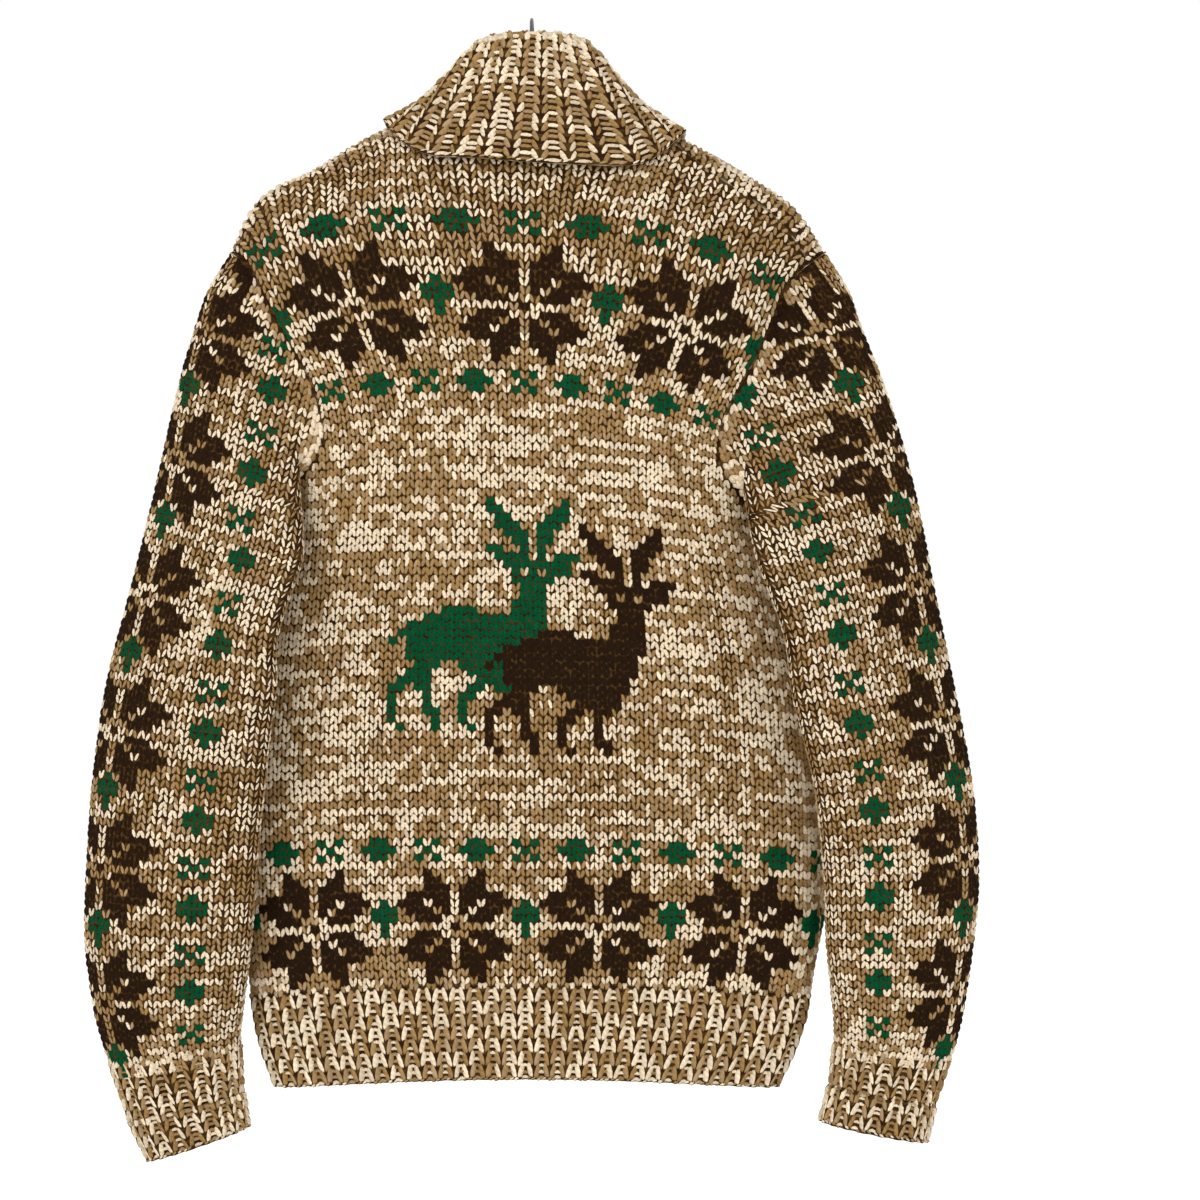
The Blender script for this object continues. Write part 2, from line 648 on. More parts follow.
def grid_normals(points, sign, around=False):
    """Outward directions of a grid of rows and columns, read from its own neighbours."""
    if around:
        across = np.roll(points, -1, axis=1) - np.roll(points, 1, axis=1)
    else:
        across = np.gradient(points, axis=1)
    return unit(np.cross(across, np.gradient(points, axis=0))) * sign


class Cloth:
    """A cloth's middle surface on a grid of columns and rows, read at any place between them."""

    def __init__(self, points, normals, columns, rows, around=False):
        self.points, self.normals = points, normals
        self.columns, self.rows, self.around = columns, rows, around
        self.low = np.full(len(rows), float(columns[0]))
        self.high = np.full(len(rows), float(columns[-1]))
        self.inner = np.zeros(len(rows))
        self.top = np.full(len(columns), float(rows[-1]))

    def between(self, values, column, row):
        """The grid's values at columns and rows, by straight shares of the four around."""
        step = self.columns[1] - self.columns[0]
        c = (column - self.columns[0]) / step
        r = np.clip((row - self.rows[0]) / (self.rows[1] - self.rows[0]), 0,
                    len(self.rows) - 1.0001)
        if self.around:
            c0 = np.floor(c).astype(int)
            across = (c - c0)[..., None]
            c0 %= len(self.columns)
            c1 = (c0 + 1) % len(self.columns)
        else:
            c = np.clip(c, 0, len(self.columns) - 1.0001)
            c0 = np.floor(c).astype(int)
            across = (c - c0)[..., None]
            c1 = c0 + 1
        r0 = np.floor(r).astype(int)
        up = (r - r0)[..., None]
        low = values[r0, c0] * (1 - across) + values[r0, c1] * across
        high = values[r0 + 1, c0] * (1 - across) + values[r0 + 1, c1] * across
        return low * (1 - up) + high * up

    def at(self, column, row):
        """Points and outward directions at columns and rows."""
        return self.between(self.points, column, row), unit(
            self.between(self.normals, column, row))

    def inside_edges(self, column, row):
        """Columns and rows moved inside the cloth's own edges."""
        row = np.minimum(row, np.interp(column, self.columns, self.top))
        low, high = (np.interp(row, self.rows, edge) for edge in (self.low, self.high))
        inner = np.interp(row, self.rows, self.inner)
        column = np.clip(column, low, high)
        return np.where(np.abs(column) < inner, np.copysign(inner, column), column), row


def body_cloth(face):
    """The back or the front, one grid point for each stitch and row."""
    columns = np.arange(FIRST_COLUMN, -FIRST_COLUMN + 1.0)
    rows = np.arange(-13.0, 132.0)
    points = np.zeros((len(rows), len(columns), 3))
    top = np.zeros(len(columns))
    low_rows = rows[rows <= YOKE_ROW]
    for j, u in enumerate(columns):
        for i, row in enumerate(low_rows):
            points[i, j] = section_point(u, max(row, HEM_ROW - 0.4), face)
        path = top_path(float(np.clip(u, -YOKE_STITCHES, YOKE_STITCHES)), face)
        length = np.linalg.norm(np.diff(path, axis=0), axis=1).sum()
        top[j] = YOKE_ROW + length / ROW_HEIGHT
        for i in range(len(low_rows), len(rows)):
            points[i, j] = along(path, min((rows[i] - YOKE_ROW) * ROW_HEIGHT / length, 1.0))
    sign = 1.0 if face == "back" else -1.0
    if face == "front":
        points = fuller_front(points, columns)
    normals = grid_normals(points, sign)
    for j in range(len(columns)):
        last = int(np.searchsorted(rows, top[j])) - 1
        normals[last:, j] = normals[last - 1, j]
    points = creased(points, normals, "body")
    cloth = Cloth(points, normals, columns, rows)
    levels = np.clip(rows, 0, YOKE_ROW)
    cloth.high = np.array([armhole_edge(level) for level in levels]) - EDGE_INSET
    cloth.low = -cloth.high
    cloth.top = top
    if face == "front":
        cloth.inner = np.array([neck_edge(level) for level in levels])
        above = rows > YOKE_ROW
        reach = np.interp(NECK_STITCHES, columns, top) - YOKE_ROW
        cloth.inner[above] = NECK_AT_YOKE + (NECK_STITCHES - NECK_AT_YOKE) * np.clip(
            (rows[above] - YOKE_ROW) / reach, 0, 1)
    return cloth


def curved(grid, times, around):
    """The grid's rows with curved steps put in between them."""
    if around:
        before, after = np.roll(grid, 1, axis=0), np.roll(grid, -1, axis=0)
        beyond = np.roll(grid, -2, axis=0)
        start, count = grid, len(grid)
    else:
        wide = np.vstack([2 * grid[:1] - grid[1:2], grid, 2 * grid[-1:] - grid[-2:-1]])
        before, start, after, beyond = wide[:-3], wide[1:-2], wide[2:-1], wide[3:]
        count = len(grid) - 1
    made = []
    for i in range(count):
        for k in range(times):
            t = k / times
            made.append(0.5 * (2 * start[i] + (after[i] - before[i]) * t
                               + (2 * before[i] - 5 * start[i] + 4 * after[i] - beyond[i]) * t * t
                               + (3 * start[i] - before[i] - 3 * after[i] + beyond[i]) * t ** 3))
    if not around:
        made.append(grid[-1])
    return np.array(made)


def sleeve_grid(side):
    """A sleeve's rings from the armhole seam to the cuff, fine and creased, with outward ways."""
    columns = armhole_columns(side)
    caps = np.array([cap_column(side, column, CAP_STEPS) for column in columns])
    rings = list(caps.transpose(1, 0, 2))
    for level in SLEEVE_LEVELS:
        rings.append(np.array([clear_of_body(ring_point(side, level, column[0]))
                               for column in columns]))
    grid = np.array(rings)
    first, last = ROLL_STEPS + 2, ROLL_STEPS + CAP_STEPS + 3
    for _ in range(CAP_SMOOTHING):
        even = (grid[:-2] + grid[2:] + np.roll(grid, 1, axis=1)[1:-1]
                + np.roll(grid, -1, axis=1)[1:-1]) / 4
        grid[first:last] = (grid[first:last] + even[first - 1:last - 1]) / 2
    grid[first:] = fuller_sleeve(grid[first:], side)
    grid[first:] = [[clear_of_body(point) for point in ring] for ring in grid[first:]]
    grid = curved(grid, FINER, False)
    grid = curved(grid.transpose(1, 0, 2), FINER + 1, True).transpose(1, 0, 2)
    normals = grid_normals(grid, side, True)
    name = "sleeve_left" if side < 0 else "sleeve_right"
    return creased(grid, normals, name), normals, (ROLL_STEPS + CAP_STEPS) * FINER


def rows_up(grid, ring):
    """How many knit rows each point of the sleeve lies above the cuff."""
    steps = np.linalg.norm(np.diff(grid[:, 0], axis=0), axis=1)
    outer = np.concatenate([np.cumsum(steps[::-1])[::-1], [0.0]]) / ROW_HEIGHT
    quarter = grid.shape[1] // 4
    level = np.cross(grid[ring, quarter] - grid[ring, -quarter],
                     grid[ring, 0] - grid[ring, 2 * quarter])
    level = unit(level) * (1.0 if level[2] > 0 else -1.0)
    height = (grid[:ring + 1] - grid[ring, 0]) @ level
    climb = np.maximum.accumulate(height[::-1, 0])
    climb = climb + np.arange(len(climb)) * 1e-6
    rows = np.tile(outer[:, None], (1, grid.shape[1]))
    rows[:ring + 1] = np.where(height > 0, np.interp(height, climb, outer[ring::-1]),
                               outer[ring] + height / ROW_HEIGHT)
    return rows


def sleeve_cloth(side):
    """A sleeve as a grid of stitches: rows lie level round the arm and end at the armhole."""
    grid, normals, ring = sleeve_grid(side)
    up = rows_up(grid, ring)
    last_row = math.ceil(up.max())
    start = up[ring, 0]
    stretch = (last_row + 0.01 - start) / (up.max() - start)
    up = np.where(up > start, start + (up - start) * stretch, up)
    rows = np.arange(0.0, last_row + 1.0)
    around = grid.shape[1]
    found = []
    for row in rows:
        reached = up >= row
        k = grid.shape[0] - 1 - np.argmax(reached[::-1], axis=0)
        k_next = np.minimum(k + 1, grid.shape[0] - 1)
        j = np.arange(around)
        gap = up[k, j] - up[k_next, j]
        share = np.where(gap > NEAR_ZERO, (up[k, j] - row) / np.maximum(gap, NEAR_ZERO), 0.0)
        share = np.clip(share, 0, 1)[:, None]
        line = grid[k, j] * (1 - share) + grid[k_next, j] * share
        out = normals[k, j] * (1 - share) + normals[k_next, j] * share
        found.append((line, out, reached.any(axis=0)))
    widths, ends = [], []
    for line, _, present in found:
        widths.append(np.linalg.norm(line - np.roll(line, 1, axis=0), axis=1).sum()
                      / SLEEVE_STITCHES if present.all() else None)
    seam_column = None
    width = widths[0]
    lines = []
    for row, (line, out, present), own in zip(rows, found, widths):
        width = own if own else width * 0.9 + USUAL_STITCH * 0.1
        halves = []
        for way in (1, -1):
            order = (np.arange(around + 1) * way) % around
            stop = around + 1 if present.all() else int(np.argmin(present[order]))
            points, outs = line[order[:stop]], out[order[:stop]]
            if not present.all():
                a, b = order[stop - 1], order[stop]
                share = (up[0, a] - row) / max(up[0, a] - up[0, b], NEAR_ZERO)
                points = np.vstack([points, grid[0, a] + (grid[0, b] - grid[0, a]) * share])
                outs = np.vstack([outs, normals[0, a]])
            halves.append((points, outs, run(points) / width))
        if seam_column is None and not present.all():
            seam_column = round(halves[0][2][-1])
        lines.append((halves, present.all()))
    first = seam_column - SLEEVE_STITCHES
    widest = [max(halves[k][2][-1] for halves, closed in lines if not closed) for k in (0, 1)]
    columns = np.arange(min(first, -math.ceil(widest[1])), max(seam_column, math.ceil(widest[0]))
                        + 1.0)
    points = np.zeros((len(rows), len(columns), 3))
    outs = np.zeros_like(points)
    low, high = np.zeros(len(rows)), np.zeros(len(rows))
    for i, (halves, closed) in enumerate(lines):
        low[i] = first if closed else -halves[1][2][-1]
        high[i] = seam_column if closed else halves[0][2][-1]
        for j, column in enumerate(columns):
            half = halves[0] if closed or column >= 0 else halves[1]
            place = column % SLEEVE_STITCHES if closed else abs(column)
            for axis in range(3):
                points[i, j, axis] = np.interp(place, half[2], half[0][:, axis])
                outs[i, j, axis] = np.interp(place, half[2], half[1][:, axis])
    cloth = Cloth(points, unit(outs), columns, rows)
    cloth.low, cloth.high = low, high
    return cloth, grid, normals, up


def cuff_cloth(side):
    """A cuff, in ribs round it and rows of its own up from its edge."""
    ribs = np.arange(0.0, CUFF_RIBS, 0.25)
    fine = np.linspace(3.0, 1.97, 70)
    line = np.array([ring_point(side, level, 0.0) for level in fine])
    travelled = run(line)
    length = travelled[-1]
    rows = np.linspace(0.0, length, 24)
    levels = np.interp(rows, travelled, fine)
    points = np.array([[ring_point(side, level, 2 * math.pi * q / CUFF_RIBS) for q in ribs]
                       for level in levels])
    return Cloth(points, grid_normals(points, -side, True), ribs, rows, True), length * 0.965


def hem_cloth(cloth):
    """The hem rib under a panel, in ribs across and millimetres up from its edge."""
    ribs = np.arange(0.0, HEM_RIBS + 0.1, 0.25)
    rows = np.linspace(0.0, -HEM_ROW * ROW_HEIGHT, 20)
    q, up = np.meshgrid(ribs, rows)
    points, normals = cloth.at((q * 2 - 34) * 0.999, HEM_ROW + up / ROW_HEIGHT)
    return Cloth(points, normals, ribs, rows)


def collar_cloth():
    """The collar, in ribs along it and millimetres up from its free edge, over the fold."""
    ribs = np.arange(0.0, COLLAR_RIBS + 0.1, 0.25)
    lines = []
    for q in ribs:
        position = 2.0 * q / COLLAR_RIBS - 1.0
        line = collar_profile(-1 if position < 0 else 1, abs(position) * COLLAR_END)
        lines.append(curved(line[::-1], 6, False))
    lengths = [run(line) for line in lines]
    rows = np.arange(0.0, max(length[-1] for length in lengths) + 2.5, 2.5)
    points = np.zeros((len(rows), len(ribs), 3))
    for j, (line, length) in enumerate(zip(lines, lengths)):
        for axis in range(3):
            points[:, j, axis] = np.interp(rows, length, line[:, axis])
    top = np.array([length[-1] for length in lengths])
    normals = grid_normals(points, 1.0)
    for j in range(len(ribs)):
        last = int(np.searchsorted(rows, top[j])) - 1
        normals[last:, j] = normals[last - 1, j]
    cloth = Cloth(points, normals, ribs, rows)
    cloth.top = top
    return cloth


# ---------------------------------------------------------------- charts

STAR = (
    "...X.....X...", "...XX...XX...", "...XXX.XXX...", ".XXXXX.XXXXX.", "XXX.XX.XX.XXX",
    ".XXX.X.X.XXX.", "..XXX...XXX..", "......X......", "..XXX...XXX..", ".XXX.X.X.XXX.",
    "XXX.XX.XX.XXX", ".XXXXX.XXXXX.", "...XXX.XXX...", "...XX...XX...", "...X.....X...")
LEAF = (".X.", "XXX", "XXX", ".X.", ".X.")
DOT = (".XX.", "XXXX", ".XX.")
TALL_DOT = (".X.", "XXX", "XXX", ".X.")
CROSS = ("X.X", ".X.", "X.X")
DEER = (
    "...........X........X.", "...........XX......XX.", "............XX....XXX.",
    "............XXX..XXX..", ".............XXX.XX...", "..............XX.XX...",
    "...........XX..X.X....", "............XXXX.X.XXX", ".............XXXXXXXX.",
    "..............X.X.XXX.", "..............XXXXX...", "...............XXX....",
    "...............XXX....", "..............XXXX....", "......XXXX....XXXX....",
    "....XXXXXXXXXXXXXX....", "..XXXXXXXXXXXXXXXX....", ".XXXXXXXXXXXXXXXX.....",
    "X.XXXXXXXXXXXXXXX.....", "..XXXXXXXXXXXXXXX.....", "..XXXXXXXXXXXXXX......",
    "...XXX..XXXXXXXX......", "..XXX....XXXXXX.......", ".XXXX.....XXXXX.......",
    "XX.XX....XX.XX........", "X...X...XX..X.........", "X...X...X...X.........",
    "X...XX..X...X.........", "X....X..X...XX........", ".X...X...X...X........")
MARL, BROWN, GREEN = 0, 1, 2

# A motif's strands are wider by this. A stitch whose row covers more than the allowed share of
# its usual height is worked in several shorter parts.
MOTIF_FULLER = 1.22
STRETCHED_PARTS = 3
STRETCH_ALLOWED = 1.15

# How the stars, and the green marks between them, are spaced, in stitches and rows.
STAR_STEP = 16
GREEN_STEP = 11
SLEEVE_REPEAT = 18
SLEEVE_STAR_COLUMN = 3
SLEEVE_GREEN_COLUMNS = (13, 11)
SLEEVE_GREEN_STEP = 12
SLEEVE_LAST_LEAF = 100
CHART_ROWS = 130


def stamp(chart, pattern, middle, bottom, yarn, first):
    """Works a small pattern into a chart, its middle on a column and its foot on a row."""
    left = round(middle - (len(pattern[0]) - 1) / 2) - first
    for i, line in enumerate(reversed(pattern)):
        for j, mark in enumerate(line):
            if mark == "X" and 0 <= left + j < chart.shape[1] and 0 <= bottom + i < len(chart):
                chart[bottom + i, left + j] = yarn


def body_chart(face):
    """Which yarn each stitch of the back or the front is worked in."""
    first = FIRST_COLUMN
    chart = np.zeros((CHART_ROWS, 1 - 2 * first), dtype=int)
    for k in range(-3, 4):
        if k % 2:
            stamp(chart, STAR, k * STAR_STEP / 2, 0, BROWN, first)
        stamp(chart, LEAF, k * STAR_STEP, 6, GREEN, first)
        stamp(chart, STAR, k * STAR_STEP, 80, BROWN, first)
        stamp(chart, LEAF, (k + 0.5) * STAR_STEP, 86, GREEN, first)
        for bottom in (16, 76, 96):
            stamp(chart, CROSS, k * GREEN_STEP, bottom, GREEN, first)
            stamp(chart, DOT, (k + 0.5) * GREEN_STEP, bottom, GREEN, first)
    for k in (-5, 5):
        stamp(chart, STAR, k * STAR_STEP / 2, 0, BROWN, first)
    if face == "back":
        stamp(chart, DEER, -4.5, 33, GREEN, first)
        chart[33:38, -3 - first:6 - first] = MARL
        stamp(chart, DEER, 6.5, 30, BROWN, first)
    return chart


def sleeve_chart(columns, side):
    """Which yarn each stitch of a sleeve is worked in: stars up the arm beside a green line."""
    first = int(columns[0])
    chart = np.zeros((CHART_ROWS, len(columns)), dtype=int)
    for bottom in range(0, CHART_ROWS, SLEEVE_REPEAT):
        if bottom < SLEEVE_LAST_LEAF:
            stamp(chart, STAR, SLEEVE_STAR_COLUMN, bottom + 3, BROWN, first)
            stamp(chart, LEAF, SLEEVE_STAR_COLUMN, bottom, GREEN, first)
        else:
            stamp(chart, STAR, SLEEVE_STAR_COLUMN, bottom, BROWN, first)
    for bottom in range(4, CHART_ROWS, SLEEVE_GREEN_STEP):
        green = np.interp(bottom, (60, 100), SLEEVE_GREEN_COLUMNS) if side < 0 else (
            SLEEVE_GREEN_COLUMNS[0])
        stamp(chart, CROSS, green, bottom, GREEN, first)
        stamp(chart, TALL_DOT, green, bottom + 6, GREEN, first)
    return chart


# ---------------------------------------------------------------- yarn

LEG_FACES = ((0, 3, 2), (0, 2, 1), (1, 2, 5, 4), (2, 3, 6, 5), (4, 5, 8, 7), (5, 6, 9, 8),
             (7, 8, 10), (8, 9, 10))
LEG_UV = ((0.5, 0.0), (0.0, 0.22), (0.5, 0.22), (1.0, 0.22), (0.0, 0.5), (0.5, 0.5), (1.0, 0.5),
          (0.0, 0.78), (0.5, 0.78), (1.0, 0.78), (0.5, 1.0))
LEG_SHADE = (0.4, 0.62, 1.0, 0.62, 0.7, 1.0, 0.7, 0.62, 1.0, 0.62, 0.5)
LEG_STEPS = np.array([0.0, 0.22, 0.5, 0.78, 1.0])


def lay_yarn(cloth, columns, rows, widths, heights, sink, raised=None):
    """Strands on the cloth: eleven points each, from five stations along every one."""
    points, normals = cloth.at(columns, rows)
    lift = np.zeros(columns.shape) if raised is None else raised
    ahead = unit(np.gradient(points, axis=1))
    aside = unit(np.cross(ahead, normals))
    ridge = points + normals * (heights + lift)[..., None]
    low = points + normals * (sink + lift)[..., None]
    left = low - aside * widths[..., None]
    right = low + aside * widths[..., None]
    body = np.stack([left, ridge, right], axis=2)[:, 1:4].reshape(len(points), 9, 3)
    return np.concatenate([ridge[:, :1], body, ridge[:, 4:]], axis=1)


def smooth_noise(rng, columns, rows, across, up):
    """Soft noise between 0 and 1 over a grid of columns and rows."""
    wide, tall = int(columns / across) + 3, int(rows / up) + 3
    knots = rng.random((tall, wide))
    c = np.arange(columns) / across
    r = np.arange(rows) / up
    c0, r0 = c.astype(int), r.astype(int)
    fc, fr = (c - c0)[None, :], (r - r0)[:, None]
    top = knots[r0][:, c0] * (1 - fc) + knots[r0][:, c0 + 1] * fc
    low = knots[r0 + 1][:, c0] * (1 - fc) + knots[r0 + 1][:, c0 + 1] * fc
    return top * (1 - fr) + low * fr


def yarn_colours(rng, codes, cream_here, colours):
    """The colours of the strands' two plies, a little different on each strand."""
    pale = np.where(cream_here[:, None], colours["cream"], colours["tan"])
    other = np.where(cream_here[:, None], colours["tan"], colours["cream"])
    tone = rng.normal(1.0, 0.07, len(codes))[:, None]
    mix = np.clip(rng.normal(0.06, 0.07, len(codes)), 0, 0.3)[:, None]
    yarn = (pale * (1 - mix) + other * mix) * tone
    ply = yarn * 0.82 + other * 0.1
    for code, name in ((BROWN, "brown"), (GREEN, "green")):
        worked = (codes == code)[:, None]
        yarn = np.where(worked, colours[name] * tone, yarn)
        ply = np.where(worked, colours[name] * tone * 0.8, ply)
    return yarn, ply


def yarn_mesh(name, strands, yarn, ply, material):
    """One mesh of many strands, with each strand's colours, and its own share of the UV map."""
    count = len(strands)
    mesh = bpy.data.meshes.new(name)
    mesh.vertices.add(count * 11)
    mesh.vertices.foreach_set("co", (strands * MM).astype(np.float32).reshape(-1))
    corners = np.concatenate([np.array(face) for face in LEG_FACES])
    sizes = np.array([len(face) for face in LEG_FACES])
    starts = np.concatenate([[0], np.cumsum(sizes)[:-1]])
    mesh.loops.add(count * len(corners))
    order = corners[None] + np.arange(count)[:, None] * 11
    mesh.loops.foreach_set("vertex_index", order.astype(np.int32).reshape(-1))
    mesh.polygons.add(count * len(sizes))
    begin = starts[None] + np.arange(count)[:, None] * len(corners)
    mesh.polygons.foreach_set("loop_start", begin.astype(np.int32).reshape(-1))
    mesh.update(calc_edges=True)
    mesh.polygons.foreach_set("use_smooth", np.ones(count * len(sizes), dtype=bool))
    uv = mesh.uv_layers.new(name="strand")
    uv.data.foreach_set("uv", np.tile(np.array(LEG_UV)[corners], (count, 1)).astype(
        np.float32).reshape(-1))
    shade = np.array(LEG_SHADE)[None, :, None]
    for label, colour in (("yarn", yarn), ("ply", ply)):
        layer = mesh.attributes.new(label, "FLOAT_COLOR", "POINT")
        values = np.ones((count, 11, 4))
        values[..., :3] = colour[:, None, :] * shade
        layer.data.foreach_set("color", values.astype(np.float32).reshape(-1))
    mesh.materials.append(material)
    made = bpy.data.objects.new(name, mesh)
    bpy.context.scene.collection.objects.link(made)
    return made


def knit(cloth, chart, first, sizes, rng):
    """Stocking stitch over the cloth: two strands for each stitch, in parts where it stretches."""
    columns = np.arange(len(chart[0])) + first
    rows = np.arange(min(len(chart), len(cloth.rows)))
    u, r = np.meshgrid(columns, rows)
    codes = chart[:len(rows)]
    field = smooth_noise(rng, len(columns), len(rows), 3.0, 1.0)
    field = (field - field.mean()) / field.std()
    field = field * 0.75 + rng.normal(0, 0.65, field.shape)
    tall = np.linalg.norm(cloth.at(u, r + 1.0)[0] - cloth.at(u, r)[0], axis=-1)
    parts = np.clip(np.round(tall / ROW_HEIGHT / STRETCH_ALLOWED), 1, STRETCHED_PARTS)
    middle_row = (r + 0.5).reshape(-1)
    strands, marks, creams = [], [], []
    for part, side in product(range(STRETCHED_PARTS), (-1.0, 1.0)):
        start = u + rng.normal(0, 0.03, u.shape)
        rise = r + part / parts + rng.normal(0, 0.06, u.shape) / parts
        swing = 0.41 + rng.normal(0, 0.03, u.shape)
        length = (sizes.leg_rows + rng.normal(0, 0.07, u.shape)) / parts
        column = start[..., None] + side * (0.06 + swing[..., None] * LEG_STEPS)
        row = (rise - 0.12 / parts)[..., None] + length[..., None] * LEG_STEPS
        middle = (u + side * 0.25).reshape(-1)
        held_column, held_row = cloth.inside_edges(middle, middle_row)
        kept = (np.abs(held_column - middle) < 0.05) & (np.abs(held_row - middle_row) < 0.4)
        kept &= part < parts.reshape(-1)
        column, row = column.reshape(-1, 5)[kept], row.reshape(-1, 5)[kept]
        held_column, held_row = cloth.inside_edges(column, row)
        split = parts.reshape(-1)[kept]
        whole = (held_row[:, -1] - held_row[:, 0] > sizes.leg_rows * 0.5 / split) & (
            np.abs(held_column - column).max(axis=1) < 0.3)
        column, row = held_column[whole], held_row[whole]
        full = np.array([0.0, 0.82, 1.0, 0.86, 0.0]) * sizes.leg_width / 2 / MM
        worked = codes.reshape(-1)[kept][whole]
        stranded = np.where(worked == MARL, 1.0, MOTIF_FULLER)[:, None]
        widths = full * stranded * rng.normal(1.0, 0.06, (len(column), 1))
        heights = np.array([-0.5, 1.0, 1.35, 1.0, -0.6]) * sizes.leg_height / MM
        heights = heights * rng.normal(1.0, 0.07, (len(column), 1))
        strands.append(lay_yarn(cloth, column, row, widths, heights, -0.5))
        marks.append(worked)
        lean = (field + rng.normal(0, 0.35, field.shape)).reshape(-1)[kept][whole]
        creams.append(lean > 0.08)
    return np.concatenate(strands), np.concatenate(marks), np.concatenate(creams)


Ribbing = namedtuple("Ribbing", "high rise v_half leg_half bump_half bump_rise pitch")


def rib_lift(ribs, high):
    """How far the rib's crests and grooves stand off the cloth's middle."""
    return high * (0.25 + np.cos(2 * math.pi * (ribs - 0.5)) * 0.75)


def knit_rib(cloth, ribbing, count, top, rng):
    """One by one rib: V stitches on the crests, purl bumps between, a cast-off edge below."""
    strands, creams = [], []

    def add(column, row, widths, heights, sink):
        held_column, held_row = cloth.inside_edges(column, row)
        whole = np.abs(held_row - row).max(axis=1) < ribbing.rise * 1.12
        column = held_column if not cloth.around else column
        column, row = column[whole], held_row[whole]
        lift = rib_lift(column, ribbing.high)
        strands.append(lay_yarn(cloth, column, row, widths[whole], heights[whole],
                                np.full(column.shape, sink), lift))
        creams.append(rng.random(len(column)) < 0.5)

    stitches = int(top / ribbing.rise) + 1
    q, k = (grid.reshape(-1) for grid in np.meshgrid(np.arange(count) + 0.5,
                                                     np.arange(stitches)))
    for side in (-1.0, 1.0):
        near = 0.035 + rng.normal(0, 0.012, q.shape)
        far = ribbing.v_half + rng.normal(0, 0.015, q.shape)
        column = q[:, None] + side * (near[:, None] + (far - near)[:, None] * LEG_STEPS)
        row = ((k + 0.1) * ribbing.rise + rng.normal(0, 0.35, q.shape))[:, None] + (
            ribbing.rise * 1.5 * LEG_STEPS)
        widths = np.array([0.0, 0.85, 1.0, 0.85, 0.0]) * ribbing.leg_half * rng.normal(
            1.0, 0.06, (len(q), 1))
        heights = np.array([-0.4, 1.3, 1.8, 1.4, -0.4]) * rng.normal(1.0, 0.08, (len(q), 1))
        add(column, row, widths, heights, -0.6)
    bumps = int(top / ribbing.pitch)
    edges = np.arange(count) if cloth.around else np.arange(1, count)
    q, k = (grid.reshape(-1) for grid in np.meshgrid(edges, np.arange(bumps)))
    column = q[:, None] + ribbing.bump_half * (2 * LEG_STEPS - 1) + rng.normal(
        0, 0.015, (len(q), 1))
    row = ((k + 0.5) * ribbing.pitch + rng.normal(0, 0.3, q.shape))[:, None] + np.array(
        [-0.7, 0.3, 0.7, 0.3, -0.7]) * ribbing.pitch * 0.2
    widths = np.array([0.0, 0.9, 1.0, 0.9, 0.0]) * ribbing.bump_rise * rng.normal(
        1.0, 0.06, (len(q), 1))
    heights = np.tile(np.array([-0.3, 1.6, 2.3, 1.6, -0.3]), (len(q), 1))
    add(column, row, widths, heights, -0.8)
    edge = np.arange(count * 3) / 3.0
    column = edge[:, None] + (LEG_STEPS * 0.36 - 0.02) + rng.normal(0, 0.03, (len(edge), 1))
    row = np.array([0.2, 0.9, 1.6, 2.3, 2.6]) + rng.normal(0, 0.3, (len(edge), 1))
    widths = np.array([0.0, 1.3, 1.6, 1.3, 0.0]) * rng.normal(1.0, 0.1, (len(edge), 1))
    heights = np.tile(np.array([-0.4, 1.0, 1.5, 1.0, -0.4]), (len(edge), 1))
    add(column, row, widths, heights, -0.8)
    return np.concatenate(strands), np.concatenate(creams)


# ---------------------------------------------------------------- the cloth under the stitches

def grid_faces(rows, columns, around, flip):
    """Quads of a grid of rows by columns, numbered row by row."""
    faces = []
    for i in range(rows - 1):
        for j in range(columns if around else columns - 1):
            k = (j + 1) % columns
            face = [i * columns + j, i * columns + k, (i + 1) * columns + k, (i + 1) * columns + j]
            faces.append(face[::-1] if flip else face)
    return faces


def cloth_piece(name, points, normals, places, faces, material, lift=0.0):
    """A closed thin cloth: an outer and an inner face from one sheet of quads, with its rims."""
    count = len(points)
    outer = points + normals * (CLOTH_OUT + np.broadcast_to(lift, (count,)))[:, None]
    inner = points - normals * CLOTH_IN
    whole = [tuple(face) for face in faces]
    whole += [tuple(count + i for i in reversed(face)) for face in faces]
    used = {pair for face in faces for pair in zip(face, face[1:] + face[:1])}
    whole += [(b, a, count + a, count + b) for a, b in used if (b, a) not in used]
    mesh = bpy.data.meshes.new(name)
    mesh.from_pydata((np.vstack([outer, inner]) * MM).tolist(), [], whole)
    mesh.update()
    mesh.shade_smooth()
    mesh.set_sharp_from_angle(angle=math.radians(60))
    inside = mesh.attributes.new("inside", "FLOAT", "POINT")
    inside.data.foreach_set("value", np.repeat([0.0, 1.0], count).astype(np.float32))
    uv = mesh.uv_layers.new(name="knit")
    corner = np.zeros(len(mesh.loops), dtype=np.int32)
    mesh.loops.foreach_get("vertex_index", corner)
    uv.data.foreach_set("uv", np.vstack([places, places])[corner].astype(np.float32).reshape(-1))
    mesh.materials.append(material)
    made = bpy.data.objects.new(name, mesh)
    bpy.context.scene.collection.objects.link(made)
    return made


